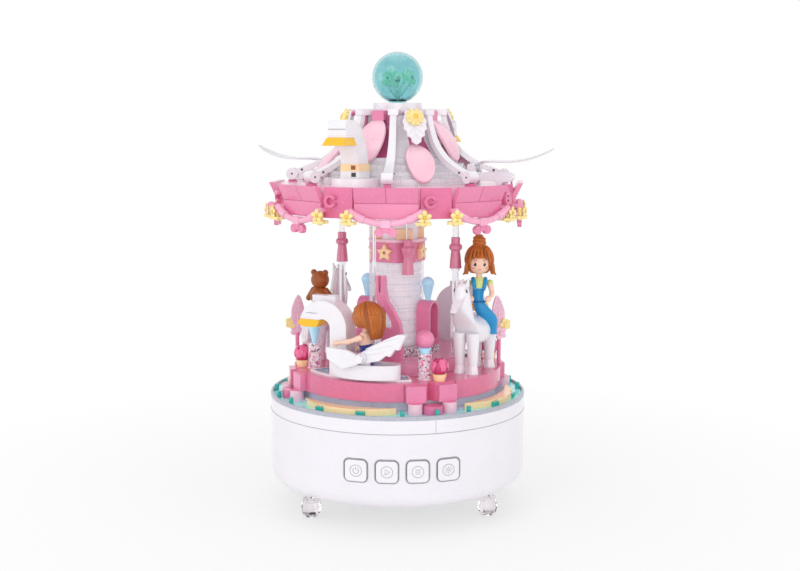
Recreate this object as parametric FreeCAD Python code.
import FreeCAD, Part
import math
import os
from FreeCAD import Matrix, Vector

os.makedirs("parts", exist_ok=True)

# Carousel music box, millimetres, +Z up, axis of the turntable on Z, floor at z = 0, front at -Y

# Driving sizes of the base
base_radius = 64.0
foot_height = 14.0
shell_height = 35.9
band_height = 6.4
trim_height = 1.9
base_fillet = 6.0
shell_wall = 2.5
band_wall = 1.3
floor_thickness = 2.5
floor_flange = 2.0
lip_width = 2.0

# Levels of the base
shell_top = foot_height + shell_height
band_top = shell_top + band_height
rim_top = band_top + trim_height
floor_top = foot_height + floor_thickness + floor_flange
web_thickness = 2.0
web_top = shell_top + web_thickness

# Clearances
fit_gap = 0.2
run_gap = 0.05
turn_gap = 0.4
key_gap = 0.1

# Buttons
button_size = 10.0
button_corner = 2.0
button_level = 32.5
button_pitch = 14.3
button_proud = 0.8
button_flange = 1.2
button_travel = 1.0
button_names = ["power_button", "play_button", "mode_button", "light_button"]

# Inside of the base
board_setback = 13.9
board_front = board_setback + shell_wall - base_radius
board_thickness = 1.6
board_width = 60.0
board_height = 25.5
switch_size = 6.0
switch_depth = 3.5
plunger_depth = 1.2
stem_gap = button_travel + fit_gap
pillar_radius = 4.0
pillar_inset = 16.0
pillar_reach = base_radius - pillar_inset
pillar_turns = [40.0, 140.0, 220.0, 320.0]
foot_inset = 12.5
foot_reach = base_radius - foot_inset
foot_turns = [57.5, 122.5, 237.5, 302.5]
spindle_radius = 4.0
gear_module = 1.0
gear_teeth = 48
pinion_teeth = 16
bearing_drop = 5.0
gear_face = 5.0
gear_high = shell_top - bearing_drop - turn_gap
gear_low = gear_high - gear_face
gear_backlash = 0.16
pressure_angle = 25.0
gear_distance = gear_module * (gear_teeth + pinion_teeth) / 2 + 0.1
motor_radius = 10.0
motor_boss = 1.5
motor_top = gear_low - motor_boss - 1.0

# Turntable and platform
deck_radius = base_radius - band_wall - turn_gap
deck_gap = 1.7
deck_thickness = 3.4
deck_low = web_top + deck_gap
deck_top = deck_low + deck_thickness
arc_radius = 32.0
arc_edge = 2.3
arc_reach = deck_radius - arc_edge - arc_radius
arc_height = 3.2
platform_inset = 10.3
platform_gap = 5.3
platform_height = 8.7
platform_radius = deck_radius - platform_inset
platform_low = deck_top + platform_gap
platform_top = platform_low + platform_height
key_half = 5.0
key_reach = 3.7
key_top = platform_low + key_reach
entry_proud = 2.6
entry_face = platform_radius + entry_proud
entry_block = 9.4
entry_offset = 8.3

# Rest turns of the carousel, measured from the front toward +X
station_turn = -29.5
entry_turn = 15.5
panel_turn = -7.0
boat_turns = [station_turn, station_turn + 180.0]
horse_turns = [station_turn + 90.0, station_turn + 270.0]
station_turns = [station_turn + 90.0 * k for k in range(4)]
entry_turns = [entry_turn + 90.0 * k for k in range(4)]
panel_turns = [panel_turn + 45.0 * k for k in range(8)]
corner_turns = [station_turn + 45.0 * k for k in range(8)]

# Hub
tier_apothem = 33.5
tier_height = 7.0
tier_top = platform_top + tier_height
column_radius = 12.3
column_bore = 8.0
column_foot = 8.7
column_foot_height = 3.5
column_height = 41.8
hub_band_height = 9.9
collar_height = 1.4
neck_height = 17.4
column_base = column_radius + column_foot
column_base_top = tier_top + column_foot_height
band_low = column_base_top + column_height
band_high = band_low + hub_band_height
collar_top = band_high + collar_height
ceiling_low = collar_top + neck_height
pole_radius = 1.6
pole_inset = 1.5
horse_pole_reach = tier_apothem - pole_inset
boat_pole_reach = 26.0
hanger_gap = 4.7
hanger_reach = column_radius + hanger_gap

# Canopy
ceiling_apothem = 56.0
ceiling_height = 10.3
corner_step = 1.0
valance_drop = 14.1
valance_skirt = 7.1
valance_rise = 0.3
valance_thickness = 2.4
valance_flare = 3.5
corner_apothem = ceiling_apothem + corner_step
canopy_floor = ceiling_low + ceiling_height
valance_low = canopy_floor - valance_drop
valance_mid = valance_low + valance_skirt
valance_top = canopy_floor + valance_rise
valance_lower_reach = ceiling_apothem + valance_thickness
valance_upper_reach = valance_lower_reach + valance_flare
panel_width = 29.4
corner_thickness = 1.6
corner_width = 14.8
garland_gap = 2.1
garland_reach = valance_lower_reach + garland_gap
garland_radius = 1.5
garland_half = 17.0
garland_lift = 3.6
garland_sag = 5.5
garland_high = valance_low + garland_lift
garland_low = garland_high - garland_sag

# Roof
roof_height = 32.7
crown_arm_height = 3.0
crown_height = 6.0
crown_low = canopy_floor + roof_height
crown_arm_top = crown_low + crown_arm_height
crown_top = crown_low + crown_height
crown_radius = 12.0
rib_thickness = 2.6
globe_radius = 12.5
globe_wall = 1.2

# Rides
pond_height = 1.0
boat_inset = 15.0
boat_height = 7.0
boat_sole = 3.0
neck_width = 9.5
neck_rise = 22.5
boat_low = platform_top + pond_height
boat_rim = boat_low + boat_height
boat_floor = boat_low + boat_sole
boat_inner = platform_radius - boat_inset
neck_near = boat_inner - 0.5
neck_far = neck_near + neck_width
neck_centre = (-16.5, boat_low + neck_rise)
neck_outer = 13.0
neck_inner = 4.0
beak_rise = 3.5
beak_top = neck_centre[1] + beak_rise
beak_height = 3.6
boat_pin = (8.0, boat_low + 10.8)
boat_pin_radius = 1.2
horse_inset = 10.0
horse_reach = platform_radius - horse_inset
girl_place = (5.4, boat_inner + 5.9)
rider_place = (2.4, horse_reach + 1.6)
rider_turn = 27.0
wing_pin = (41.0, canopy_floor + 7.9)
wing_pin_radius = 1.0


# Shape helpers

def spun(shape, turn):
    copy = shape.copy()
    copy.rotate(Vector(0, 0, 0), Vector(0, 0, 1), turn)
    return copy


def moved(shape, s, r, z):
    copy = shape.copy()
    copy.translate(Vector(s, -r, z))
    return copy


def around(shape, turns):
    return [spun(shape, turn) for turn in turns]


def joined(first, *others):
    return first.multiFuse(list(others)).removeSplitter()


def lifted(level, stations):
    # Raises the second value of each station from a height to a level
    return [(station[0], level + station[1]) + tuple(station[2:]) for station in stations]


def disc(radius, low, high, s=0.0, r=0.0):
    return Part.makeCylinder(radius, high - low, Vector(s, -r, low))


def ring(inner, outer, low, high, s=0.0, r=0.0):
    return disc(outer, low, high, s, r).cut(disc(inner, low - 1, high + 1, s, r))


def block(s0, s1, r0, r1, low, high):
    return Part.makeBox(s1 - s0, r1 - r0, high - low, Vector(s0, -r1, low))


def polygon(points):
    return Part.Face(Part.makePolygon(points + points[:1]))


def turned(profile):
    face = polygon([Vector(r, 0, z) for r, z in profile])
    return face.revolve(Vector(0, 0, 0), Vector(0, 0, 1), 360)


def side_plate(profile, width, middle=0.0):
    start = middle - width / 2
    face = polygon([Vector(start, -r, z) for r, z in profile])
    return face.extrude(Vector(width, 0, 0))


def front_plate(profile, near, far):
    face = polygon([Vector(s, -near, z) for s, z in profile])
    return face.extrude(Vector(0, near - far, 0))


def flat_plate(profile, low, high):
    face = polygon([Vector(s, -r, low) for s, r in profile])
    return face.extrude(Vector(0, 0, high - low))


def smooth_face(points):
    curve = Part.BSplineCurve()
    curve.interpolate(points, PeriodicFlag=True)
    return Part.Face(Part.Wire(curve.toShape()))


def regular_plate(sides, apothem, low, high, turn):
    reach = apothem / math.cos(math.pi / sides)
    step = 360.0 / sides
    corners = [math.radians(step * (k + 0.5)) for k in range(sides)]
    outline = [(reach * math.sin(a), reach * math.cos(a)) for a in corners]
    return spun(flat_plate(outline, low, high), turn)


def limb(start, end, start_radius, end_radius):
    # Tapered round bar with ball ends, turned about its own axis
    axis = end - start
    length = axis.Length
    slope = math.sqrt(0.5)
    low = Vector(0, 0, -start_radius)
    side_low = Vector(start_radius, 0, 0)
    side_high = Vector(end_radius, 0, length)
    high = Vector(0, 0, length + end_radius)
    low_bend = Vector(start_radius * slope, 0, -start_radius * slope)
    high_bend = Vector(end_radius * slope, 0, length + end_radius * slope)
    outline = [
        Part.Arc(low, low_bend, side_low).toShape(), Part.makeLine(side_low, side_high),
        Part.Arc(side_high, high_bend, high).toShape(), Part.makeLine(high, low),
    ]
    body = Part.Face(Part.Wire(outline)).revolve(Vector(0, 0, 0), Vector(0, 0, 1), 360)
    body.Placement = FreeCAD.Placement(start, FreeCAD.Rotation(Vector(0, 0, 1), axis))
    return body


def place(s, r, z):
    return Vector(s, -r, z)


def oval(s, r, z, across, along, tilt):
    # Ellipse in a plane that holds the radial direction, its long way tilted in the side view
    up = Vector(math.sin(math.radians(tilt)), 0, math.cos(math.radians(tilt)))
    points = []
    for k in range(12):
        a = 2 * math.pi * k / 12
        points.append(place(s, r, z) + Vector(0, across * math.cos(a), 0) + up * (along * math.sin(a)))
    curve = Part.BSplineCurve()
    curve.interpolate(points, PeriodicFlag=True)
    return Part.Wire(curve.toShape())


def level_oval(s, r, z, across_s, across_r):
    points = []
    for k in range(12):
        a = 2 * math.pi * k / 12
        points.append(place(s + across_s * math.cos(a), r + across_r * math.sin(a), z))
    curve = Part.BSplineCurve()
    curve.interpolate(points, PeriodicFlag=True)
    return Part.Wire(curve.toShape())


def round_bar(stations):
    # Round bar that bends through the stations, each a point and a radius
    wires = []
    for k, (point, radius) in enumerate(stations):
        before = stations[max(k - 1, 0)][0]
        after = stations[min(k + 1, len(stations) - 1)][0]
        along = (after - before).normalize()
        across = (Vector(0, 1, 0) - along * along.y).normalize()
        up = along.cross(across)
        points = []
        for i in range(12):
            a = 2 * math.pi * i / 12
            points.append(point + across * (radius * math.cos(a)) + up * (radius * math.sin(a)))
        curve = Part.BSplineCurve()
        curve.interpolate(points, PeriodicFlag=True)
        wires.append(Part.Wire(curve.toShape()))
    return Part.makeLoft(wires, True)


def blossom(radius, thickness, petals):
    outline = []
    for k in range(petals * 4):
        a = 2 * math.pi * k / (petals * 4)
        reach = radius * (0.72, 0.93, 1.0, 0.93)[k % 4]
        outline.append(Vector(reach * math.cos(a), reach * math.sin(a), 0))
    plate = polygon(outline).extrude(Vector(0, 0, thickness))
    heart = Part.makeCone(radius * 0.42, radius * 0.2, thickness * 0.7, Vector(0, 0, thickness))
    return joined(plate, heart)


def aimed(shape, across, along, at):
    # Carries a shape from its own X, Y axes to the two given directions
    x = Vector(across).normalize()
    y = Vector(along).normalize()
    z = x.cross(y)
    matrix = Matrix(x.x, y.x, z.x, at.x, x.y, y.y, z.y, at.y, x.z, y.z, z.z, at.z, 0, 0, 0, 1)
    copy = shape.copy()
    copy.transformShape(matrix, True)
    return copy


def save(node, *shapes):
    Part.makeCompound(list(shapes)).exportStep("parts/" + node + ".step")


# Base shell, floor, band, ring, feet

def button_prism(centre, size, corner, back):
    half = size / 2
    low = button_level - half
    high = button_level + half
    prism = block(centre - half, centre + half, back, base_radius + 3, low, high)
    edges = [e for e in prism.Edges if abs(e.tangentAt(e.FirstParameter).y) > 0.99]
    return prism.makeFillet(corner, edges)


button_centres = [button_pitch * (k - 1.5) for k in range(4)]
shell_inner = base_radius - shell_wall
fillet_centre = Vector(base_radius - base_fillet, 0, foot_height + base_fillet)


def fillet_point(radius, angle):
    a = math.radians(angle)
    return fillet_centre + Vector(radius * math.cos(a), 0, radius * math.sin(a))


lip_radius = base_radius - base_fillet - lip_width
inner_fillet = base_fillet - shell_wall
shell_corners = [
    Vector(lip_radius, 0, foot_height), fillet_point(base_fillet, -90), fillet_point(base_fillet, 0),
    Vector(base_radius, 0, shell_top), Vector(shell_inner, 0, shell_top), fillet_point(inner_fillet, 0),
    fillet_point(inner_fillet, -90), Vector(lip_radius, 0, foot_height + shell_wall),
]
shell_edges = [
    Part.makeLine(shell_corners[0], shell_corners[1]),
    Part.Arc(shell_corners[1], fillet_point(base_fillet, -45), shell_corners[2]).toShape(),
    Part.makeLine(shell_corners[2], shell_corners[3]),
    Part.makeLine(shell_corners[3], shell_corners[4]),
    Part.makeLine(shell_corners[4], shell_corners[5]),
    Part.Arc(shell_corners[5], fillet_point(inner_fillet, -45), shell_corners[6]).toShape(),
    Part.makeLine(shell_corners[6], shell_corners[7]),
    Part.makeLine(shell_corners[7], shell_corners[0]),
]
shell = Part.Face(Part.Wire(shell_edges)).revolve(Vector(0, 0, 0), Vector(0, 0, 1), 360)
for centre in button_centres:
    window = button_prism(centre, button_size + 2 * fit_gap, button_corner + fit_gap, shell_inner - 11.5)
    shell = shell.cut(window)
save("base_shell", shell)

floor = disc(lip_radius - fit_gap, foot_height, floor_top - floor_flange)
floor = floor.fuse(disc(lip_radius + lip_width - 0.3, floor_top - floor_flange, floor_top))
pivot = disc(8.0, floor_top, floor_top + 5.5)
motor_cup = ring(motor_radius + fit_gap, motor_radius + 2.4, floor_top, floor_top + 9, -gear_distance)
floor = joined(floor, pivot, motor_cup)
floor = floor.cut(disc(spindle_radius + run_gap, floor_top + 1.5, floor_top + 9))
speaker_s = 34.0
for k in range(5):
    length = 11.0 - abs(k - 2) * 2.5
    slot = block(speaker_s - length, speaker_s + length, 5 * (k - 2) - 1, 5 * (k - 2) + 1, 10, 30)
    floor = floor.cut(slot)
screw_head = 2.8
for spot in around(disc(1.6, 10, 30, 0, pillar_reach), pillar_turns):
    floor = floor.cut(spot)
for spot in around(disc(screw_head + fit_gap, 10, foot_height + 1.6, 0, pillar_reach), pillar_turns):
    floor = floor.cut(spot)
save("base_floor", floor)

screw = joined(disc(screw_head, foot_height + 0.2, foot_height + 1.6, 0, pillar_reach),
               disc(1.4, foot_height + 1.6, foot_height + 15, 0, pillar_reach))
save("base_screws", *around(screw, pillar_turns))

band_inner = base_radius - band_wall
bearing_radius = 8.0
band = turned([
    (spindle_radius + run_gap, shell_top - bearing_drop), (bearing_radius, shell_top - bearing_drop),
    (bearing_radius, shell_top),
    (shell_inner - fit_gap - 2.5, shell_top), (shell_inner - fit_gap - 2.5, shell_top - 3),
    (shell_inner - fit_gap, shell_top - 3), (shell_inner - fit_gap, shell_top), (base_radius, shell_top),
    (base_radius, band_top), (band_inner, band_top), (band_inner, web_top),
    (spindle_radius + run_gap, web_top),
])
pillar = disc(pillar_radius, floor_top, shell_top, 0, pillar_reach)
band = joined(band, *around(pillar, pillar_turns))
for bore in around(disc(1.5, floor_top - 1, floor_top + 14, 0, pillar_reach), pillar_turns):
    band = band.cut(bore)
seam = spun(block(-0.2, 0.2, base_radius - 0.3, base_radius + 1, shell_top, band_top), 14)
save("top_band", band.cut(seam))

save("trim_ring", turned([
    (band_inner, band_top), (base_radius, band_top), (base_radius, rim_top - 0.5),
    (base_radius - 0.5, rim_top), (band_inner, rim_top),
]))

foot_rings = [(2.4, 0.0), (4.6, 2.2), (5.2, 5.0), (4.6, 7.8), (2.6, 10.0)]
facets = []
for radius, level in foot_rings:
    angles = [math.pi * k / 4 for k in range(8)]
    corners = [Vector(radius * math.cos(a), radius * math.sin(a), level) for a in angles]
    facets.append(Part.makePolygon(corners + corners[:1]))
crystal = Part.makeLoft(facets, True, True)
crystal = joined(crystal, disc(2.6, 9.5, 12.6), disc(4.0, 12.6, foot_height))
save("crystal_feet", *around(moved(crystal, 0, foot_reach, 0), foot_turns))

# Buttons and the board behind them

board_back = -board_front - board_thickness
board_half = board_width / 2
board = block(-board_half, board_half, board_back, -board_front, floor_top, floor_top + board_height)
switch_front = -board_front + switch_depth
plunger_front = switch_front + plunger_depth
button_back = shell_inner - 16.5
for name, centre in zip(button_names, button_centres):
    body = block(centre - switch_size / 2, centre + switch_size / 2, -board_front, switch_front,
                 button_level - switch_size / 2, button_level + switch_size / 2)
    plunger_start = place(centre, switch_front, button_level)
    plunger = Part.makeCylinder(1.7, plunger_depth, plunger_start, Vector(0, -1, 0))
    board = joined(board, body, plunger)
    back_face = shell_inner - fit_gap - 2
    cap = button_prism(centre, button_size, button_corner, button_back)
    cap = cap.common(disc(base_radius + button_proud, 0, shell_top))
    flange = button_prism(centre, button_size + 2 * button_flange, button_corner, button_back)
    flange = flange.common(disc(shell_inner - 0.3, 0, shell_top))
    button = joined(cap, flange).cut(disc(back_face, 0, shell_top))
    stem_end = plunger_front + stem_gap
    stem_length = back_face + 1.5 - stem_end
    stem = Part.makeCylinder(2.5, stem_length, place(centre, stem_end, button_level), Vector(0, -1, 0))
    stem = stem.common(disc(back_face + 1, 0, shell_top))
    save(name, joined(button, stem))
save("circuit_board", board)

# Battery, speaker and motor inside the base

cell_radius = 5.3
cell_length = 44.0
cell_middle = -32.5
pack = block(-23, 23, cell_middle - 16.5, cell_middle + 16.5, floor_top, floor_top + 7)
for k in range(3):
    start = Vector(-cell_length / 2, -(cell_middle + 10.9 * (k - 1)), floor_top + 6.5)
    pack = pack.fuse(Part.makeCylinder(cell_radius, cell_length, start, Vector(1, 0, 0)))
save("battery_pack", pack.removeSplitter())

speaker = turned([
    (0, floor_top + 3), (5, floor_top + 3), (12, floor_top + 1.2), (14, floor_top), (17, floor_top),
    (17, floor_top + 2), (14.5, floor_top + 2), (10, floor_top + 6), (10, floor_top + 11),
    (0, floor_top + 11),
])
save("speaker", moved(speaker, speaker_s, 0, 0))

shaft_radius = 1.5
motor = joined(disc(motor_radius, floor_top, motor_top, -gear_distance),
               disc(4, motor_top, motor_top + motor_boss, -gear_distance))
save("drive_motor", motor.cut(disc(shaft_radius + run_gap, motor_top - 8, motor_top + 5, -gear_distance)))


def gear(teeth, low, high, first_angle):
    pitch = gear_module * teeth / 2
    base = pitch * math.cos(math.radians(pressure_angle))
    tip = pitch + gear_module * 0.95
    root = pitch - gear_module * 1.25
    half_tooth = math.pi / (2 * teeth) - gear_backlash / (4 * pitch)
    involute = lambda r: math.tan(math.acos(base / r)) - math.acos(base / r)
    flank_start = max(base, root)
    outline = []
    for k in range(teeth):
        middle = first_angle + 2 * math.pi * k / teeth
        flank = []
        for i in range(4):
            r = flank_start + (tip - flank_start) * i / 3
            flank.append((r, half_tooth + involute(pitch) - involute(r)))
        root_half = half_tooth + involute(pitch) - involute(flank_start)
        rise = [(root, root_half)] + flank if root < flank_start else flank
        points = [(r, -a) for r, a in rise] + [(r, a) for r, a in reversed(rise)]
        outline += [Vector(r * math.cos(middle + a), r * math.sin(middle + a), low) for r, a in points]
    return polygon(outline).extrude(Vector(0, 0, high - low))


pinion = gear(pinion_teeth, gear_low + 0.3, gear_high - 0.3, math.pi / pinion_teeth)
pinion = pinion.fuse(disc(shaft_radius, motor_top - 7, gear_high + 0.5))
save("motor_pinion", moved(pinion.removeSplitter(), -gear_distance, 0, 0))

spindle = joined(
    disc(spindle_radius, floor_top + 1.5, deck_low), disc(18, deck_low - 1.4, deck_low),
    gear(gear_teeth, gear_low, gear_high, math.pi),
    block(-key_half, key_half, -key_half, key_half, deck_low, key_top),
)
save("turntable_spindle", spindle)

# Deck, path arcs and platform

key_hole = key_half + key_gap
key_slot = block(-key_hole, key_hole, -key_hole, key_hole, deck_low - 10, key_top + fit_gap)
deck = disc(deck_radius, deck_low, deck_top).cut(key_slot)
post_radius = 1.1
post = disc(post_radius, deck_top - 1, deck_top + 3.4, 0, deck_radius - post_radius - 0.1)
posts = []
for turn in entry_turns:
    posts += [spun(post, turn), spun(post, turn - 15.5), spun(post, turn + 15.5)]
arc_top = deck_top + arc_height
clip_turns = [turn + side * 10.5 for turn in station_turns for side in (-1, 1)]
clip_far = deck_radius - 1.9
clip_near = clip_far - 2.0
clip = block(-2, 2, clip_near, clip_far, deck_top - 1, deck_top + 2.2)
deck = joined(deck, *(posts + around(clip, clip_turns)))
save("turntable_deck", deck)

underplate_radius = platform_radius - 2.5
skirt_radius = platform_radius + 2.0
path_arc = disc(arc_radius, deck_top, arc_top, 0, arc_reach).cut(
    disc(skirt_radius + 0.3, deck_low, platform_low))
notch = block(-2 - fit_gap, 2 + fit_gap, clip_near - fit_gap, deck_radius + 2, deck_low, platform_low)
for side in (-1, 1):
    path_arc = path_arc.cut(spun(notch, side * 10.5))
path_arcs = around(path_arc, station_turns)

skirt = disc(skirt_radius, deck_top, deck_top + 1.2)
for pocket in around(disc(13.0, deck_low, platform_low, 0, deck_radius - 2.3), entry_turns):
    skirt = skirt.cut(pocket)
underplate = joined(disc(underplate_radius, deck_top, platform_low), skirt).cut(key_slot)


def sector(inner, outer, half_angle, low, high):
    outline = [Part.makePolygon([place(0, 0, low)] + [
        place(90 * math.sin(math.radians(a)), 90 * math.cos(math.radians(a)), low)
        for a in (-half_angle, -half_angle / 2, 0, half_angle / 2, half_angle)] + [place(0, 0, low)])]
    wedge = Part.Face(outline).extrude(Vector(0, 0, high - low))
    return wedge.common(ring(inner, outer, low, high))


pond_inner = boat_inner + 0.6
pond_outer = pond_inner + 9.0
pond = sector(pond_inner, pond_outer, 34, platform_top, platform_top + 0.7)
border = sector(pond_inner - 1.1, pond_outer + 1.2, 35.6, platform_top, boat_low).cut(
    sector(pond_inner, pond_outer, 34, platform_top - 1, boat_low + 1))
save("pond_plates", underplate, *(around(pond, boat_turns) + around(border, boat_turns)))

platform = disc(platform_radius, platform_low, platform_top)
entry_half = entry_block / 2
step = block(-entry_half, entry_half, platform_radius - 6, entry_face, platform_low, platform_top - 0.8)
joint_near = platform_radius - 0.8
joint_line = block(-0.25, 0.25, joint_near, platform_radius + 8, platform_low - 1, platform_top + 1)
notch_outline = [
    (-3.4, entry_face + 2.4), (-3.0, entry_face - 1.0), (0, entry_face - 5.8), (3.0, entry_face - 1.0),
    (3.4, entry_face + 2.4),
]
notch_v = flat_plate(notch_outline, platform_low - 1, platform_top + 1)
for turn in entry_turns:
    platform = platform.multiFuse([spun(step, turn - entry_offset), spun(step, turn + entry_offset)])
for turn in entry_turns:
    cuts = [spun(notch_v, turn), spun(joint_line, turn - 14.0), spun(joint_line, turn + 14.0)]
    platform = platform.cut(cuts)
platform = platform.removeSplitter().cut(key_slot)
round_reach = entry_face + 0.2
small_round = disc(3.4, deck_top, platform_low, 0, round_reach)
big_round = disc(4.8, deck_top, deck_top + 4.2, 0, round_reach)
rounds = around(big_round, entry_turns)
for turn in entry_turns:
    rounds += [spun(small_round, turn - entry_offset - 0.6), spun(small_round, turn + entry_offset + 0.6)]
rounds = [solid.cut(underplate) for solid in rounds]
save("platform_wall", platform, *rounds)

# Hub, column, seats and braces

tier = regular_plate(8, tier_apothem, platform_top, tier_top, panel_turn)
band_block = regular_plate(8, column_radius + 0.4, band_low, band_high, station_turn)
collar = regular_plate(8, column_radius + 1.2, band_high, collar_top, station_turn)


def arched(half, low, spring, near, far):
    body = front_plate([(-half, low), (half, low), (half, spring), (-half, spring)], near, far)
    crown = Part.makeCylinder(half, far - near, place(0, near, spring), Vector(0, -1, 0))
    return joined(body, crown)


seat_half = 5.6
seat_top = column_base_top + 22.7
seat_near = column_radius + 1.1
seat_far = seat_near + 7.1
seat_spring = seat_top - seat_half
seat = arched(seat_half, column_base_top, seat_spring, seat_near, seat_far)
seat_hollow = arched(seat_half - 1.4, column_base_top + 3.5, seat_spring, seat_near + 2.6, seat_far + 1.5)
seat = seat.cut(seat_hollow)
brace_outline = lifted(tier_top, [
    (6.2, 0.0), (16.0, 0.0), (16.4, 11.0), (15.0, 18.5), (12.0, 23.5), (8.6, 28.3),
    (7.2, 34.0), (6.8, 40.5), (5.3, 40.5), (5.0, 32.5), (4.1, 32.5), (3.8, 40.5), (2.4, 40.5),
    (2.6, 29.5), (4.4, 22.0), (5.0, 12.0),
])
brace_window = lifted(tier_top, [(6.2, 25.6), (8.0, 23.5), (10.6, 19.0), (11.4, 15.5), (6.4, 15.5)])
brace = front_plate(brace_outline, boat_pole_reach - 1.5, boat_pole_reach + 1.5)
brace = brace.cut(front_plate(brace_window, boat_pole_reach - 2, boat_pole_reach + 2))
save("hub_bricks", tier, band_block, collar, *(around(seat, horse_turns) + around(brace, boat_turns)))

column_levels = 7
column_groove = column_radius - 0.7
column_step = (band_low - column_base_top) / column_levels
column_profile = [(column_bore, tier_top), (column_base, tier_top), (column_base, column_base_top)]
for k in range(column_levels):
    low = column_base_top + column_step * k
    column_profile += [(column_groove, low), (column_groove, low + 0.6), (column_radius, low + 1.2)]
    column_profile += [(column_radius, low + column_step - 0.3)]
column_profile += [(column_groove, band_low), (column_bore, band_low)]
neck_tube = ring(column_bore, column_bore + 2.4, collar_top, ceiling_low)
save("clear_column", turned(column_profile), neck_tube)

tassel_low = ceiling_low - 31.0
tassel_high = tassel_low + 15.0
pole = disc(pole_radius, tier_top, ceiling_low)
horse_pole = joined(pole, disc(pole_radius + 0.6, tassel_low - 1, tassel_low))
hanger = disc(0.9, tassel_high - 1, ceiling_low, 0, hanger_reach)
poles = around(moved(horse_pole, 0, horse_pole_reach, 0), horse_turns)
poles += around(moved(pole, 0, boat_pole_reach, 0), boat_turns)
hanger_turns = [entry_turn, entry_turn + 180.0]
save("ride_poles", *(poles + around(hanger, hanger_turns)))

# Swan boats with arched necks, beaks and wings

hull_corners = [
    place(-13.2, boat_inner, boat_low), place(-13.2, boat_inner + 8.4, boat_low),
    place(20.8, boat_inner + 7.6, boat_low), place(20.8, boat_inner, boat_low),
]
hull_outline = [
    Part.makeLine(hull_corners[0], hull_corners[1]),
    Part.Arc(hull_corners[1], place(5.0, boat_inner + 13.6, boat_low), hull_corners[2]).toShape(),
    Part.Arc(hull_corners[2], place(22.4, boat_inner + 4.0, boat_low), hull_corners[3]).toShape(),
    Part.makeLine(hull_corners[3], hull_corners[0]),
]
hull = Part.Face(Part.Wire(hull_outline)).extrude(Vector(0, 0, boat_rim - boat_low))
cockpit_corners = [
    place(-2.0, boat_inner + 1.6, boat_floor), place(-2.0, boat_inner + 10.6, boat_floor),
    place(19.0, boat_inner + 6.8, boat_floor), place(19.0, boat_inner + 1.6, boat_floor),
]
cockpit_outline = [
    Part.makeLine(cockpit_corners[0], cockpit_corners[1]),
    Part.Arc(cockpit_corners[1], place(8.0, boat_inner + 11.3, boat_floor), cockpit_corners[2]).toShape(),
    Part.makeLine(cockpit_corners[2], cockpit_corners[3]),
    Part.makeLine(cockpit_corners[3], cockpit_corners[0]),
]
hull = hull.cut(Part.Face(Part.Wire(cockpit_outline)).extrude(Vector(0, 0, 10)))


def neck_cylinder(radius, near, far):
    start = place(neck_centre[0], near, neck_centre[1])
    return Part.makeCylinder(radius, far - near, start, Vector(0, -1, 0))


arch = neck_cylinder(neck_outer, neck_near, neck_far)
arch = arch.cut(neck_cylinder(neck_inner, neck_near - 1, neck_far + 1))
arch = arch.cut(block(-60, neck_centre[0], neck_near - 1, neck_far + 1, boat_low, beak_top))
arch = arch.cut(block(-60, 30, neck_near - 1, neck_far + 1, boat_low, neck_centre[1]))
leg_near = neck_centre[0] + neck_inner
leg_far = neck_centre[0] + neck_outer
neck_leg = block(leg_near, leg_far, neck_near, neck_far, boat_low, neck_centre[1])
crest = block(-25.0, -12.0, neck_near, neck_near + 4.5, boat_low + 30.0, boat_low + 37.2)
pin_s, pin_z = boat_pin
bracket_far = boat_inner + 11.6
bracket = block(pin_s - 2.2, pin_s + 2.2, bracket_far - 1.6, bracket_far, boat_rim - 2, pin_z + 2.0)
pin = Part.makeCylinder(boat_pin_radius, 6.4, place(pin_s, bracket_far - 0.8, pin_z), Vector(0, -1, 0))
head_root = place(pin_s, bracket_far + 5.4, pin_z)
pin_head = Part.makeCylinder(boat_pin_radius + 0.8, 0.7, head_root, Vector(0, -1, 0))
boat = joined(hull, neck_leg, arch, crest, bracket, pin, pin_head)
save("swan_boats", *around(boat, boat_turns))

head_left = neck_centre[0] - neck_outer
beak_profile = [
    (head_left + 0.6, beak_top), (head_left + 10.6, beak_top), (head_left + 11.2, beak_top - 1.4),
    (head_left + 9.4, beak_top - beak_height), (head_left + 1.6, beak_top - beak_height),
    (head_left - 0.6, beak_top - 2.0),
]
boat_beak = front_plate(beak_profile, neck_near - 0.3, neck_far + 0.3)

rear_near = bracket_far + 0.3
rear_far = rear_near + 2.3
front_near = rear_far + 0.4
front_far = front_near + 1.8
eyelet = Part.makeCylinder(2.4, front_far - front_near, place(pin_s, front_near, pin_z), Vector(0, -1, 0))
front_outline = lifted(boat_low, [
    (-10.2, 14.8), (0.8, 14.2), (5.4, 12.6), (9.0, 9.4), (6.4, 7.8), (-1.6, 5.0), (-9.8, 9.4),
])
front_wing = front_plate(front_outline, front_near, front_far)
front_wing = joined(front_wing, eyelet)
eyelet_low = Part.makeCylinder(2.6, rear_far - rear_near, place(pin_s, rear_near, pin_z), Vector(0, -1, 0))
rear_outline = lifted(boat_low, [
    (7.0, 8.4), (10.4, 8.6), (17.0, 10.2), (20.5, 13.0), (22.5, 12.6), (25.0, 16.2), (27.0, 16.0),
    (29.0, 20.0), (30.8, 23.4), (26.5, 23.2), (20.0, 20.4), (13.0, 16.4), (7.2, 13.2),
])
rear_wing = front_plate(rear_outline, rear_near, rear_far)
rear_wing = joined(rear_wing, eyelet_low)
hole_root = place(pin_s, bracket_far - 8.6, pin_z)
pin_hole = Part.makeCylinder(boat_pin_radius + run_gap, 20, hole_root, Vector(0, -1, 0))
front_wing = front_wing.cut(pin_hole)
rear_wing = rear_wing.cut(pin_hole)
for prefix, turn in (("boat_wing", boat_turns[0]), ("far_wing", boat_turns[1])):
    save(prefix + "_front", spun(front_wing, turn))
    save(prefix + "_rear", spun(rear_wing, turn))

# Horses and the bear

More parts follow.
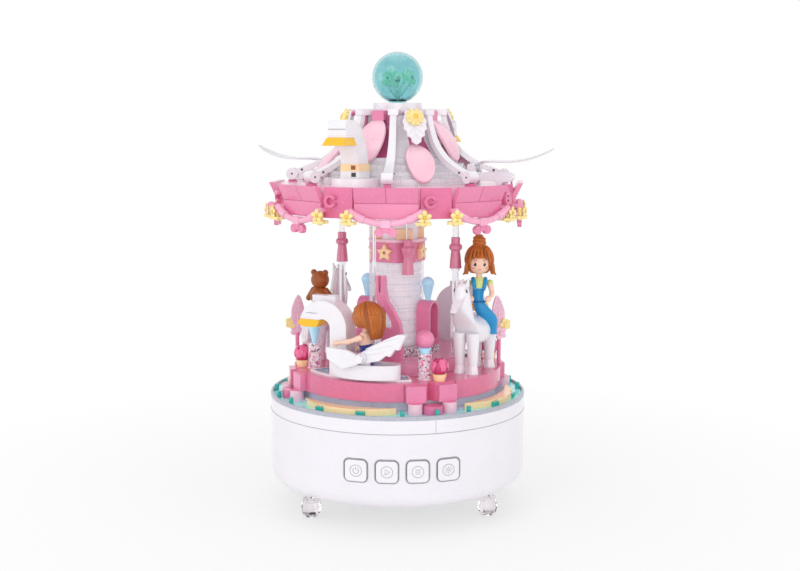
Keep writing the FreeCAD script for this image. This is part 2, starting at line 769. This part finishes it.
def oval_body(ovals):
    wires = []
    for s, z, across, along, tilt in lifted(platform_top, ovals):
        wires.append(oval(s, horse_reach, z, across, along, tilt))
    return Part.makeLoft(wires, True)


torso = oval_body([
    (16.0, 22.0, 2.4, 3.2, 0), (13.4, 21.2, 5.4, 7.0, 0), (6.5, 20.4, 6.4, 7.8, 0),
    (-2.0, 20.4, 6.2, 7.6, -4), (-9.0, 23.0, 6.1, 8.4, -32), (-12.4, 29.5, 5.1, 6.6, -62), (-13.4, 35.5, 4.2, 5.2, -74),
    (-13.8, 41.0, 3.4, 4.2, -80), (-13.6, 44.6, 2.0, 2.8, -90),
])
head = oval_body([
    (-11.4, 43.4, 2.2, 2.4, 40), (-14.6, 40.8, 3.4, 4.4, 42), (-18.0, 37.6, 2.9, 3.7, 44),
    (-21.0, 34.6, 2.5, 2.9, 46), (-23.4, 32.2, 1.6, 1.8, 48),
])
hoof_height = 4.0
horse_parts = [head]
for side in (-1, 1):
    leg_r = horse_reach + side * 3.5
    for leg_s, leg_length, thigh in ((-8.8, 16.0, 3.4), (11.4, 17.0, 3.8)):
        knee = place(leg_s, leg_r, platform_top + hoof_height)
        horse_parts.append(Part.makeCone(2.2, thigh, leg_length, knee))
        horse_parts.append(Part.makeCone(2.9, 2.2, hoof_height, place(leg_s, leg_r, platform_top)))
    ear_r = horse_reach + side * 1.9
    ear_root = place(-13.0, ear_r, platform_top + 43.2)
    horse_parts.append(Part.makeCone(1.3, 0.3, 4.0, ear_root, Vector(0.1, -side * 0.25, 1)))
tail_root = place(15.6, horse_reach, platform_top + 24.5)
tail_end = place(19.6, horse_reach, platform_top + 11.0)
horse_parts.append(limb(tail_root, tail_end, 1.4, 2.2))
horse = torso.multiFuse(horse_parts)
save("horses", *around(horse, horse_turns))

bear_s = 6.0
bear_seat = platform_top + 27.2


def bear_point(s, across, height):
    return place(bear_s + s, horse_reach + across, bear_seat + height)


bear_parts = [Part.makeSphere(4.7, bear_point(-0.4, 0, 13.2))]
for side in (-1, 1):
    bear_parts.append(Part.makeSphere(1.6, bear_point(0, side * 3.4, 17.0)))
    bear_parts.append(limb(bear_point(0, side * 3.6, 7.8), bear_point(-0.6, side * 7.0, 3.4), 1.7, 1.5))
    bear_parts.append(limb(bear_point(-1, side * 3.0, 3.0), bear_point(-6.0, side * 4.4, 2.6), 1.9, 1.7))
bear = Part.makeSphere(5.0, bear_point(0, 0, 5.0)).multiFuse(bear_parts)
bear = bear.cut(horse)
save("bear", spun(bear, horse_turns[1]))

# Two dolls, each facing along the ride

shoulder_half = 5.3


def doll_torso(low, waist, shoulder, neck_end):
    ovals = [
        (low, 3.4, 3.8), (low + 2.5, 3.6, 4.0), (waist, 2.6, 3.0), (shoulder - 3.5, 2.9, 3.3),
        (shoulder, 2.2, 2.9),
    ]
    body = Part.makeLoft([level_oval(0, 0, z, along, across) for z, along, across in ovals], True)
    return body.fuse(disc(1.5, shoulder - 0.5, neck_end))


def doll_head(level):
    return Part.makeSphere(5.7, Vector(0, 0, level))


def doll_arm(side, shoulder, elbow, hand):
    shoulder_point = place(0, side * shoulder_half, shoulder)
    elbow_point = place(elbow[0], side * elbow[1], shoulder - elbow[2])
    hand_point = place(hand[0], side * hand[1], shoulder - hand[2])
    upper = (elbow_point - shoulder_point).normalize()
    lower = (hand_point - elbow_point).normalize()
    return round_bar([
        (shoulder_point - upper * 1.3, 0.7), (shoulder_point - upper * 0.6, 1.35),
        (shoulder_point + upper * 1.0, 1.5), (elbow_point - upper * 1.2, 1.25),
        (elbow_point + lower * 1.2, 1.2), (hand_point - lower * 1.6, 1.0), (hand_point, 1.5),
        (hand_point + lower * 1.0, 1.2), (hand_point + lower * 1.6, 0.6),
    ])


def seated(shape, turn, spot, facing=0.0):
    return spun(moved(spun(shape, facing), spot[0], spot[1], 0), turn)


neck_clearance = 0.1
girl_waist = boat_floor + 8.5
girl_shoulder = girl_waist + 10.1
girl_neck = girl_shoulder + 1.8
girl_arm_level = girl_shoulder - 2.0
girl_head_level = girl_neck + 5.6
girl = doll_torso(boat_floor, girl_waist, girl_shoulder, girl_neck)
laps = []
for side in (-1, 1):
    hip = place(-1, side * 2.0, boat_floor + 2.4)
    knee = place(-4.6, side * 2.1, boat_floor + 2.2)
    laps.append(limb(hip, knee, 2.2, 1.9))
girl = girl.multiFuse(laps)
save("girl_dress", seated(girl, boat_turns[0], girl_place))
head_ball = doll_head(girl_head_level)
neck_socket = disc(1.5 + neck_clearance, girl_head_level - 8, girl_head_level - 3)
save("girl_head", seated(head_ball.cut(neck_socket), boat_turns[0], girl_place))
hair = Part.makeSphere(6.9, Vector(0.4, 0, girl_head_level + 0.3))
curtain_wires = []
for drop, along, across in ((-2.0, 3.0, 6.6), (4.0, 2.2, 6.0), (9.6, 1.3, 4.6)):
    middle = 6.0 - (2.2 - along) * 0.4
    curtain_wires.append(level_oval(middle, 0, girl_head_level - drop, along, across))
hair = hair.fuse(Part.makeLoft(curtain_wires, True)).cut(doll_head(girl_head_level))
hair = hair.cut(block(-20, -2.6, -4.6, 4.6, girl_head_level - 9, girl_head_level + 3.6))
nape = girl_head_level - 4.6
hair = hair.cut(block(-20, 3.9, -20, 20, nape - 30, nape)).cut(disc(5.0, nape - 30, nape))
save("girl_hair", seated(hair, boat_turns[0], girl_place))
arm_left = doll_arm(1, girl_arm_level, (-6.4, 6.2, 2.4), (-12.6, 6.4, 3.4))
arm_right = doll_arm(-1, girl_arm_level, (-2.6, 5.6, 5.0), (-6.4, 4.6, 7.2))
save("girl_arm_left", seated(arm_left, boat_turns[0], girl_place))
save("girl_arm_right", seated(arm_right, boat_turns[0], girl_place))

rider_hem = platform_top + 17.5
rider_waist = rider_hem + 16.3
rider_shoulder = rider_waist + 11.2
rider_neck = rider_shoulder + 2.6
rider_arm_level = rider_shoulder - 2.2
rider_head_level = rider_neck + 5.4
skirt_ovals = [
    (3.8, 7.2, rider_hem, 3.0, 2.4), (3.0, 6.2, rider_hem + 4.5, 3.3, 3.2),
    (1.2, 3.2, rider_hem + 10.5, 3.8, 4.4), (0, 0, rider_waist, 2.6, 2.9),
    (0, 0, rider_shoulder - 3.5, 2.9, 3.3), (0, 0, rider_shoulder, 2.2, 2.9),
]
rider = Part.makeLoft([level_oval(*station) for station in skirt_ovals], True)
rider = rider.fuse(disc(1.5, rider_shoulder - 0.5, rider_neck))
rider = moved(spun(rider, rider_turn), rider_place[0], rider_place[1], 0).cut(horse)
save("rider_dress", spun(rider, horse_turns[0]))
rider_socket = disc(1.5 + neck_clearance, rider_head_level - 8, rider_head_level - 3)
rider_ball = doll_head(rider_head_level).cut(rider_socket)
save("rider_head", seated(rider_ball, horse_turns[0], rider_place, rider_turn))
updo = Part.makeSphere(6.8, Vector(0.4, 0, rider_head_level + 0.4))
updo = updo.multiFuse([Part.makeCone(4.6, 2.6, 4.0, Vector(0.4, 0, rider_head_level + 5)),
                       Part.makeSphere(3.0, Vector(0.4, 0, rider_head_level + 9.6))])
updo = updo.cut(block(-20, -2.4, -4.7, 4.7, rider_head_level - 9, rider_head_level + 2.8))
updo = updo.cut(block(-20, 20, -20, 20, rider_head_level - 30, rider_head_level - 4.9))
locks = []
for side in (-1, 1):
    lock_root = place(-1.6, side * 5.6, rider_head_level + 0.6)
    lock_end = place(-2.4, side * 6.2, rider_head_level - 4.6)
    locks.append(limb(lock_root, lock_end, 1.4, 0.9))
updo = updo.multiFuse(locks).cut(doll_head(rider_head_level))
save("rider_hair", seated(updo, horse_turns[0], rider_place, rider_turn))
for side, name in ((1, "rider_arm_left"), (-1, "rider_arm_right")):
    arm = doll_arm(side, rider_arm_level, (-1.4, 6.4, 5.2), (-5.6, 4.2, 6.8))
    save(name, seated(arm, horse_turns[0], rider_place, rider_turn))

# Small decorations on the platform

decor_inset = 9.0
decor_reach = platform_radius - decor_inset
post_top = platform_top + 12.6
glitter_post = Part.makeCylinder(3.2, post_top - platform_top, place(0, decor_reach, platform_top))
save("glitter_posts", *around(glitter_post, entry_turns))
cup = Part.makeCone(2.2, 3.2, 2.8, place(0, decor_reach, post_top))
ball_radius = 4.4
ball_level = post_top + 2.8 + math.sqrt(ball_radius ** 2 - 2.2 ** 2)
ball = Part.makeSphere(ball_radius, place(0, decor_reach, ball_level))
cup = cup.cut(ball)
balloon = Part.makeSphere(3.2, Vector(0, 0, 8.4)).fuse(Part.makeCone(1.2, 2.75, 6.8, Vector(0, 0, 0)))
ball_turns = [entry_turns[0], entry_turns[2]]
balloon_turns = [entry_turns[1], entry_turns[3]]
seat_balloon = moved(balloon, 0, seat_near + 3.6, seat_top)
post_balloon = moved(balloon, 0, decor_reach, post_top)
balloons = around(post_balloon, balloon_turns) + around(seat_balloon, horse_turns)
save("balloons", *(around(cup, ball_turns) + balloons))
bud_reach = platform_radius - 3.7
bud_cup = Part.makeCone(2.6, 3.5, 3.4, place(0, bud_reach, platform_top))
bud = Part.makeSphere(4.1, place(0, bud_reach, platform_top + 6.6)).cut(bud_cup)
bud_turns = [turn + (6.6 if k % 2 == 0 else -6.6) for k, turn in enumerate(entry_turns)]
bud = bud.cut(disc(10, platform_top - 5, platform_top + 3.4, 0, bud_reach))
save("candy_balls", *(around(ball, ball_turns) + around(bud, bud_turns)))

# Stars and other cream trim

star_level = band_low + 4.9
star_outline = []
for k in range(10):
    reach = 4.4 if k % 2 == 0 else 2.3
    star_outline.append((reach * math.sin(math.pi * k / 5), star_level + reach * math.cos(math.pi * k / 5)))
star_near = column_radius + 0.4
star = front_plate(star_outline, star_near, star_near + 1.8)
star = star.cut(Part.makeCylinder(0.8, 6, place(0, star_near - 1, star_level), Vector(0, -1, 0)))
neck_block = block(-4.0, 4.0, column_bore + 1.0, column_bore + 4.6, collar_top, collar_top + 5.2)
neck_block = neck_block.cut(neck_tube)
saddle_low = canopy_floor + 3.7
plate_low = saddle_low + 3.2
plate_top = plate_low + 3.4
plate_near = 37.7
plate_far = plate_near + 10.0
swan_plate = block(-5.0, 5.0, plate_near, plate_far, plate_low, plate_top)
cream = path_arcs + around(star, station_turns) + around(neck_block, entry_turns)
cream += around(bud_cup, bud_turns) + around(swan_plate, boat_turns)
save("cream_trim", *cream)

# Ceiling and valance

def corner_cut(shape):
    return shape.common(regular_plate(8, corner_apothem, ceiling_low - 10, canopy_floor + 10, station_turn))


ceiling_wall = 4.0
ceiling = regular_plate(8, ceiling_apothem, ceiling_low, canopy_floor, panel_turn)
hollow = regular_plate(8, ceiling_apothem - ceiling_wall, ceiling_low + 2.5, canopy_floor - 2.3, panel_turn)
hollow = corner_cut(hollow).common(disc(ceiling_apothem - 2.0, ceiling_low, canopy_floor))
ceiling = corner_cut(ceiling).cut(hollow)
save("canopy_ceiling", ceiling)

panel_profile = [
    (ceiling_apothem, valance_low), (valance_lower_reach, valance_low), (valance_lower_reach, valance_mid),
    (valance_upper_reach, valance_top), (valance_upper_reach - 2.3, valance_top),
    (ceiling_apothem, valance_mid + 0.6),
]
panel = side_plate(panel_profile, panel_width)
seam_far = valance_upper_reach + 8.1
seam_long = block(-20, 20, valance_lower_reach - 0.3, seam_far, valance_mid - 0.12, valance_mid + 0.12)
seam_tall = side_plate([
    (valance_lower_reach - 0.3, valance_mid), (seam_far, valance_mid), (seam_far, valance_top + 7.4),
    (valance_upper_reach - 0.25, valance_top + 0.4),
], 0.3)
panel = panel.cut(seam_long).cut(seam_tall)
save("valance_panels", *around(panel, panel_turns))

corner_near = corner_apothem
corner_far = corner_near + corner_thickness
corner_plate = block(-corner_width / 2, corner_width / 2, corner_near, corner_far, valance_low, canopy_floor)
hook_level = valance_mid + 0.7
hook = Part.makeCylinder(3.1, 2.2, place(-3.4, corner_far, hook_level), Vector(0, -1, 0))
hook = hook.cut(Part.makeCylinder(1.7, 6, place(-3.4, corner_far - 1, hook_level), Vector(0, -1, 0)))
hook_mouth = [(-3.4, hook_level), (3, hook_level + 2.6), (3, hook_level - 2.6)]
hook = hook.cut(front_plate(hook_mouth, corner_far - 1, corner_far + 5))
corner_clip = joined(corner_plate, hook)
rib_end = (52.6, canopy_floor + 4.0)
rib_end_radius = 2.9
rib_foot = block(-1.7, 1.7, rib_end[0] - 2, rib_end[0] + 2, canopy_floor, rib_end[1] - rib_end_radius)

# Garlands, bows and tassels

bend = (garland_half ** 2 + garland_sag ** 2) / (2 * garland_sag)
bend_centre = place(0, garland_reach, garland_low + bend)
half_bend = math.degrees(math.asin(garland_half / bend))


def tube(radius, start, end):
    start_angle = math.radians(start)
    at = bend_centre + Vector(bend * math.sin(start_angle), 0, -bend * math.cos(start_angle))
    along = Vector(math.cos(start_angle), 0, math.sin(start_angle))
    face = Part.Face(Part.Wire(Part.makeCircle(radius, at, along)))
    return face.revolve(bend_centre, Vector(0, -1, 0), end - start)


garland = tube(garland_radius, -half_bend, half_bend)
sleeve = garland_radius + 0.4
sleeves = [tube(sleeve, -half_bend, -half_bend + 16), tube(sleeve, half_bend - 16, half_bend)]
garland = garland.multiFuse(sleeves)
bow_top = garland_low - garland_radius - 0.3
saddle = block(-2.2, 2.2, garland_reach - 1.7, garland_reach + 1.7, bow_top, garland_low + 1.7)
garland = garland.fuse(saddle)
peg_reach = garland_reach + 1.5
pegs = []
for side in (-1, 1):
    slant = 22.5 - math.degrees(math.atan2(garland_half, garland_reach))
    peg_radius = math.hypot(garland_half, garland_reach)
    peg_s = -side * peg_radius * math.sin(math.radians(slant))
    peg_root = place(peg_s, corner_far, garland_high)
    peg = Part.makeCylinder(1.2, peg_reach - corner_far, peg_root, Vector(0, -1, 0))
    pegs.append(spun(peg, side * 22.5))
garland = garland.multiFuse(pegs).removeSplitter()
for side in (-1, 1):
    garland = garland.cut(spun(corner_clip, side * 22.5))
save("garlands", *around(garland, panel_turns))
save("canopy_clips", *(around(corner_clip, corner_turns) + around(rib_foot, panel_turns)))

bow = joined(
    block(-1.6, 1.6, garland_reach - 1.2, garland_reach + 1.2, bow_top - 2.4, bow_top),
    Part.makeCylinder(2.0, 2.0, place(-3.0, garland_reach - 1.0, bow_top - 2.0), Vector(0, -1, 0)),
    Part.makeCylinder(2.0, 2.0, place(3.0, garland_reach - 1.0, bow_top - 2.0), Vector(0, -1, 0)),
)
tassel_profile = [
    (pole_radius + 0.04, tassel_low), (3.0, tassel_low), (2.6, tassel_low + 5), (2.2, tassel_low + 8.4),
    (3.2, tassel_low + 9.6), (3.2, tassel_low + 11), (2.2, tassel_low + 12), (2.2, tassel_high),
    (pole_radius + 0.04, tassel_high),
]
pole_tassel = moved(turned(tassel_profile), 0, horse_pole_reach, 0)
hung_profile = [(0, tassel_low - 3)]
for r, z in tassel_profile[1:-1]:
    hung_profile.append((r, z - (3 if z < tassel_low + 9 else 1)))
hung_profile.append((0, tassel_high - 1))
hung_tassel = moved(turned(hung_profile), 0, hanger_reach, 0)
plume_s = 20.4
plume_r = platform_radius - 5.2
plume_root = platform_top + 15.0
feather_points = [
    (0, 0), (2.6, 4.0), (3.4, 9.0), (2.2, 14.0), (0, 17.5), (-2.2, 14.0), (-3.4, 9.0), (-2.6, 4.0),
]
feather = smooth_face([Vector(x, y, 0) for x, y in feather_points]).extrude(Vector(0, 0, 1.0))
feather_root = place(plume_s, plume_r, plume_root + 2.0)
feather = aimed(feather, Vector(0.75, -0.6, 0), Vector(0.1, 0.125, 0.93), feather_root)
plume_bloom = aimed(blossom(3.4, 1.4, 5), Vector(0.75, -0.6, 0), Vector(0, 0, 1),
                    place(plume_s - 0.3, plume_r + 0.4, plume_root + 1.0))
plume_stem = disc(1.0, platform_top, plume_root, plume_s, plume_r)
plume = plume_stem.multiFuse([feather, plume_bloom])
trim = around(bow, panel_turns) + around(pole_tassel, horse_turns) + around(hung_tassel, hanger_turns)
save("pink_trim", *(trim + around(plume, horse_turns)))

# Yellow flowers on the garlands and daisies on the roof

flower_top = garland_low + 0.9
flower_turn = math.degrees(math.atan2(garland_half, garland_reach))
flower_reach = math.hypot(garland_half, garland_reach)
bloom = aimed(blossom(3.9, 1.3, 5), Vector(1, 0, 0), Vector(0, -1, 0), place(0, flower_reach, flower_top))
bloom_stem = disc(1.5, flower_top - 0.4, garland_high - 0.6, 0, flower_reach)
flower = bloom.fuse(bloom_stem)
flower_pair = [spun(flower, side * flower_turn).cut(garland) for side in (-1, 1)]
flowers = [spun(one, turn) for turn in panel_turns for one in flower_pair]

leaf_outline = [
    (0, -17.0), (2.2, -15.6), (2.6, -13.4), (4.4, -12.6), (4.4, -10.4), (5.8, -9.2), (5.4, -7.0),
    (6.0, -5.4), (5.0, -3.4), (4.2, 0.0), (-4.2, 0.0), (-5.0, -3.4), (-6.0, -5.4), (-5.4, -7.0),
    (-5.8, -9.2), (-4.4, -10.4), (-4.4, -12.6), (-2.6, -13.4), (-2.2, -15.6),
]
leaf_reach = 24.4
leaf_level = crown_low + 2.0
leaf_tilt = math.radians(19)
leaf_along = Vector(0, math.sin(leaf_tilt), math.cos(leaf_tilt))
leaf_plate = polygon([Vector(x, y, 0) for x, y in leaf_outline]).extrude(Vector(0, 0, 1.0))
leaf = aimed(leaf_plate, Vector(1, 0, 0), leaf_along, place(0, leaf_reach, leaf_level))
leaf_stem = Part.makeCylinder(1.1, 16, place(0, 10, crown_low + 1.15), Vector(0, -1, 0))
daisy = joined(blossom(4.4, 1.0, 8), Part.makeCone(3.2, 1.8, 1.2, Vector(0, 0, 1.0)))
leaf_normal = Vector(1, 0, 0).cross(leaf_along)
daisy_spot = place(0, leaf_reach, leaf_level) - leaf_along * 3.6 + leaf_normal * 1.0
daisy = aimed(daisy, Vector(1, 0, 0), leaf_along, daisy_spot)
plume_flower = aimed(blossom(3.2, 1.3, 5), Vector(0.75, -0.6, 0), Vector(0, 0, 1),
                     place(plume_s + 2.5, plume_r + 1.8, plume_root + 5.0)).cut(plume)
save("flowers", *(flowers + around(daisy, entry_turns) + around(plume_flower, horse_turns)))

# Roof drum with crown, inner cone, ribs, petals and leaves

crown = disc(crown_radius, crown_low, crown_top)
crown_arm = block(-2.5, 2.5, crown_radius - 2, 24.4, crown_low, crown_arm_top)
crown = joined(crown, *around(crown_arm, panel_turns))
drum_steps = lifted(canopy_floor, [(39.0, 3.1), (36.0, 6.3), (33.0, 9.5), (30.0, 12.7)])
drum_profile = [(26.0, canopy_floor), (drum_steps[0][0], canopy_floor)]
for k, (radius, top) in enumerate(drum_steps):
    drum_profile.append((radius, top))
    if k + 1 < len(drum_steps):
        drum_profile.append((drum_steps[k + 1][0], top))
drum_profile.append((26.0, drum_steps[-1][1]))
drum = turned(drum_profile)
save("roof_drum", drum, crown)

cone_profile = lifted(canopy_floor, [(28.5, 12.7), (21.5, 20.7), (18.0, 27.7), (17.5, roof_height)])
cone_inner = [(r - 2.5, z) for r, z in reversed(cone_profile)]
cone = turned(cone_profile + cone_inner)
save("roof_cone", cone)


rib_path = lifted(canopy_floor, [
    (22.8, roof_height, 3.2), (23.4, 29.7, 3.2), (25.3, 24.2, 3.3), (28.8, 18.0, 3.6),
    (35.5, 11.7, 4.0), (44.5, 7.1, 4.4), (51.5, 4.5, 4.6),
])


def rib_section(index):
    r, z, width = rib_path[index]
    before = rib_path[max(index - 1, 0)]
    after = rib_path[min(index + 1, len(rib_path) - 1)]
    along = Vector(after[0] - before[0], 0, after[1] - before[1]).normalize()
    if index == 0:
        along = Vector(0, 0, -1)
    normal = Vector(-along.z, 0, along.x) * (rib_thickness / 2)
    half = width / 2
    corners = [
        place(-half, r + normal.x, z + normal.z), place(half, r + normal.x, z + normal.z),
        place(half, r - normal.x, z - normal.z), place(-half, r - normal.x, z - normal.z),
    ]
    return Part.makePolygon(corners + corners[:1])


rib = Part.makeLoft([rib_section(k) for k in range(len(rib_path))], True)
rib_knuckle = Part.makeCylinder(rib_end_radius, 5.4, place(-2.7, rib_end[0], rib_end[1]), Vector(1, 0, 0))
rib = joined(rib, rib_knuckle)

arm_profile = lifted(canopy_floor, [
    (39.6, 0.0), (43.0, 0.0), (44.0, 1.7), (53.0, 1.5), (54.0, 0.0), (56.6, 0.0), (57.6, 1.3),
    (60.5, 1.5), (61.8, 3.1), (61.4, 4.9), (59.6, 5.7), (44.0, 5.7), (39.6, 5.7),
])
wing_r, wing_z = wing_pin
cheek = [
    (wing_r - 1.4, wing_z - 4.2), (wing_r + 3.6, wing_z - 4.2), (wing_r + 2.0, wing_z + 1.2),
    (wing_r, wing_z + 2.0), (wing_r - 1.4, wing_z + 1.2),
]
wing_arm = joined(
    side_plate(arm_profile, 5.0), side_plate(cheek, 1.6, -3.4), side_plate(cheek, 1.6, 3.4),
    block(-4.2, 4.2, wing_r - 1.4, wing_r + 3.6, wing_z - 5.2, wing_z - 3.2),
    Part.makeCylinder(wing_pin_radius, 8.0, place(-4.0, wing_r, wing_z), Vector(1, 0, 0)),
)
save("roof_ribs", *(around(rib, panel_turns) + around(wing_arm, horse_turns)))


def petal(length, width, curl):
    outline = [
        (0, length / 2), (width * 0.30, length * 0.36), (width * 0.48, length * 0.08),
        (width * 0.44, -length * 0.24), (width * 0.22, -length * 0.45), (0, -length / 2),
        (-width * 0.22, -length * 0.45), (-width * 0.44, -length * 0.24), (-width * 0.48, length * 0.08),
        (-width * 0.30, length * 0.36),
    ]
    column = smooth_face([Vector(x, y, -12) for x, y in outline]).extrude(Vector(0, 0, 24))
    centre = Vector(0, 0, -curl)
    dome = Part.makeSphere(curl, centre).cut(Part.makeSphere(curl - 1.2, centre))
    return dome.common(column)


def on_slope(shape, low, high, lift):
    along = Vector(0, low[0] - high[0], high[1] - low[1]).normalize()
    across = Vector(1, 0, 0)
    middle = place(0, (low[0] + high[0]) / 2, (low[1] + high[1]) / 2) + across.cross(along) * lift
    return aimed(shape, across, along, middle)


peg_back = Part.makeCylinder(1.6, 12, Vector(0, 0, -12.6))
low_ends = lifted(canopy_floor, [(42.6, 3.1), (27.6, 19.3)])
low_lift = 1.9
low_petal = on_slope(petal(23.0, 13.8, 24.0), low_ends[0], low_ends[1], low_lift)
low_peg = on_slope(peg_back, low_ends[0], low_ends[1], low_lift).cut(drum).Solids
low_peg = max(low_peg, key=lambda solid: -solid.CenterOfMass.y)
low_petal = low_petal.fuse(low_peg)
high_ends = lifted(canopy_floor, [(32.4, 11.3), (18.8, 30.9)])
high_lift = 3.2
high_petal = on_slope(petal(24.5, 14.0, 26.0), high_ends[0], high_ends[1], high_lift)
high_peg = on_slope(peg_back, high_ends[0], high_ends[1], high_lift).cut(cone).Solids
high_peg = max(high_peg, key=lambda solid: -solid.CenterOfMass.y)
high_petal = high_petal.fuse(high_peg)
petal_hinge = block(-3.1, 3.1, crown_radius - 2, 20.4, crown_low - 2.4, crown_low + 2.2)
petal_hinge = petal_hinge.cut(spun(crown, -station_turn)).cut(high_petal).cut(cone)
petal_hinge = max(petal_hinge.Solids, key=lambda solid: solid.Volume)
save("roof_petals", *(around(low_petal, entry_turns) + around(high_petal, station_turns)))
leaf_arm = leaf_stem.cut(spun(crown, -entry_turn)).cut(leaf).Solids
leaf_arm = max(leaf_arm, key=lambda solid: solid.CenterOfMass.y)
leaves = around(leaf, entry_turns) + around(leaf_arm, entry_turns)
save("roof_leaves", *(leaves + around(petal_hinge, station_turns)))

# Roof swans, their beaks and the long roof wings

chin = plate_top + 12.2
bust_profile = lifted(plate_top, [
    (38.2, 0.0), (39.6, 5.4), (41.6, 11.0), (44.6, 16.0), (48.2, 19.0), (51.0, 20.1), (57.6, 20.1),
    (59.2, 18.8), (59.4, 12.2), (51.8, 12.2), (50.2, 8.4), (48.6, 4.4), (47.6, 0.0),
])
bust = side_plate(bust_profile, 9.4)
saddle_plate = block(-5.0, 5.0, plate_near, plate_far, saddle_low, plate_low)
round_plate = disc(11.0, canopy_floor, saddle_low, 0, plate_near + 5.3)
round_plate = round_plate.cut(disc(drum_steps[0][0] + fit_gap, canopy_floor - 10, saddle_low + 10))
save("roof_swans", *(around(bust, boat_turns) + around(joined(saddle_plate, round_plate), boat_turns)))


def beak_wire(near, far, half, level):
    corners = [
        place(-half, near, level), place(half, near, level), place(half, far, level),
        place(-half, far, level),
    ]
    return Part.makePolygon(corners + corners[:1])


beak_wires = [beak_wire(52.4, 60.6, 4.6, chin), beak_wire(51.4, 63.0, 5.9, chin - beak_height)]
roof_beak = Part.makeLoft(beak_wires, True, True)
save("swan_beaks", *(around(boat_beak, boat_turns) + around(roof_beak, boat_turns)))

blade_path = lifted(wing_z, [
    (wing_r + 1.2, 1.1, 4.0, 1.6), (wing_r + 4.2, 2.4, 4.4, 1.5), (wing_r + 8.0, 3.0, 11.0, 1.5),
    (wing_r + 14.0, 3.0, 14.0, 1.4), (wing_r + 23.0, 3.4, 12.0, 1.3), (wing_r + 32.0, 5.4, 8.0, 1.1),
    (wing_r + 40.6, 9.2, 2.6, 0.8),
])


def blade_section(r, z, chord, thickness):
    half = chord / 2
    corners = [
        place(-half, r, z - thickness * 0.2), place(0, r, z - thickness / 2),
        place(half, r, z - thickness * 0.2), place(half, r, z + thickness * 0.2),
        place(0, r, z + thickness / 2), place(-half, r, z + thickness * 0.2),
    ]
    return Part.makePolygon(corners + corners[:1])


blade = Part.makeLoft([blade_section(*station) for station in blade_path], True)
knuckle = Part.makeCylinder(1.9, 4.4, place(-2.2, wing_r, wing_z), Vector(1, 0, 0))
wing_hole = Part.makeCylinder(wing_pin_radius + run_gap, 12, place(-6, wing_r, wing_z), Vector(1, 0, 0))
wing = joined(blade, knuckle).cut(wing_hole)
for name, turn in zip(("roof_wing_right", "roof_wing_left"), horse_turns):
    save(name, spun(wing, turn))

# Clear globe in two halves on the crown

globe_level = crown_top + globe_radius
globe_hollow = Part.makeSphere(globe_radius - globe_wall, Vector(0, 0, globe_level))
globe_ball = Part.makeSphere(globe_radius, Vector(0, 0, globe_level)).cut(globe_hollow)
equator = ring(globe_radius - 0.25, globe_radius + 1, globe_level - 0.2, globe_level + 0.2)
globe_neck = ring(3.0, 4.5, crown_top, crown_top + 2.2).cut(globe_hollow)
globe_mouth = disc(3.0, crown_top - 1, crown_top + 4)
save("globe", globe_ball.cut(equator).fuse(globe_neck).cut(globe_mouth))
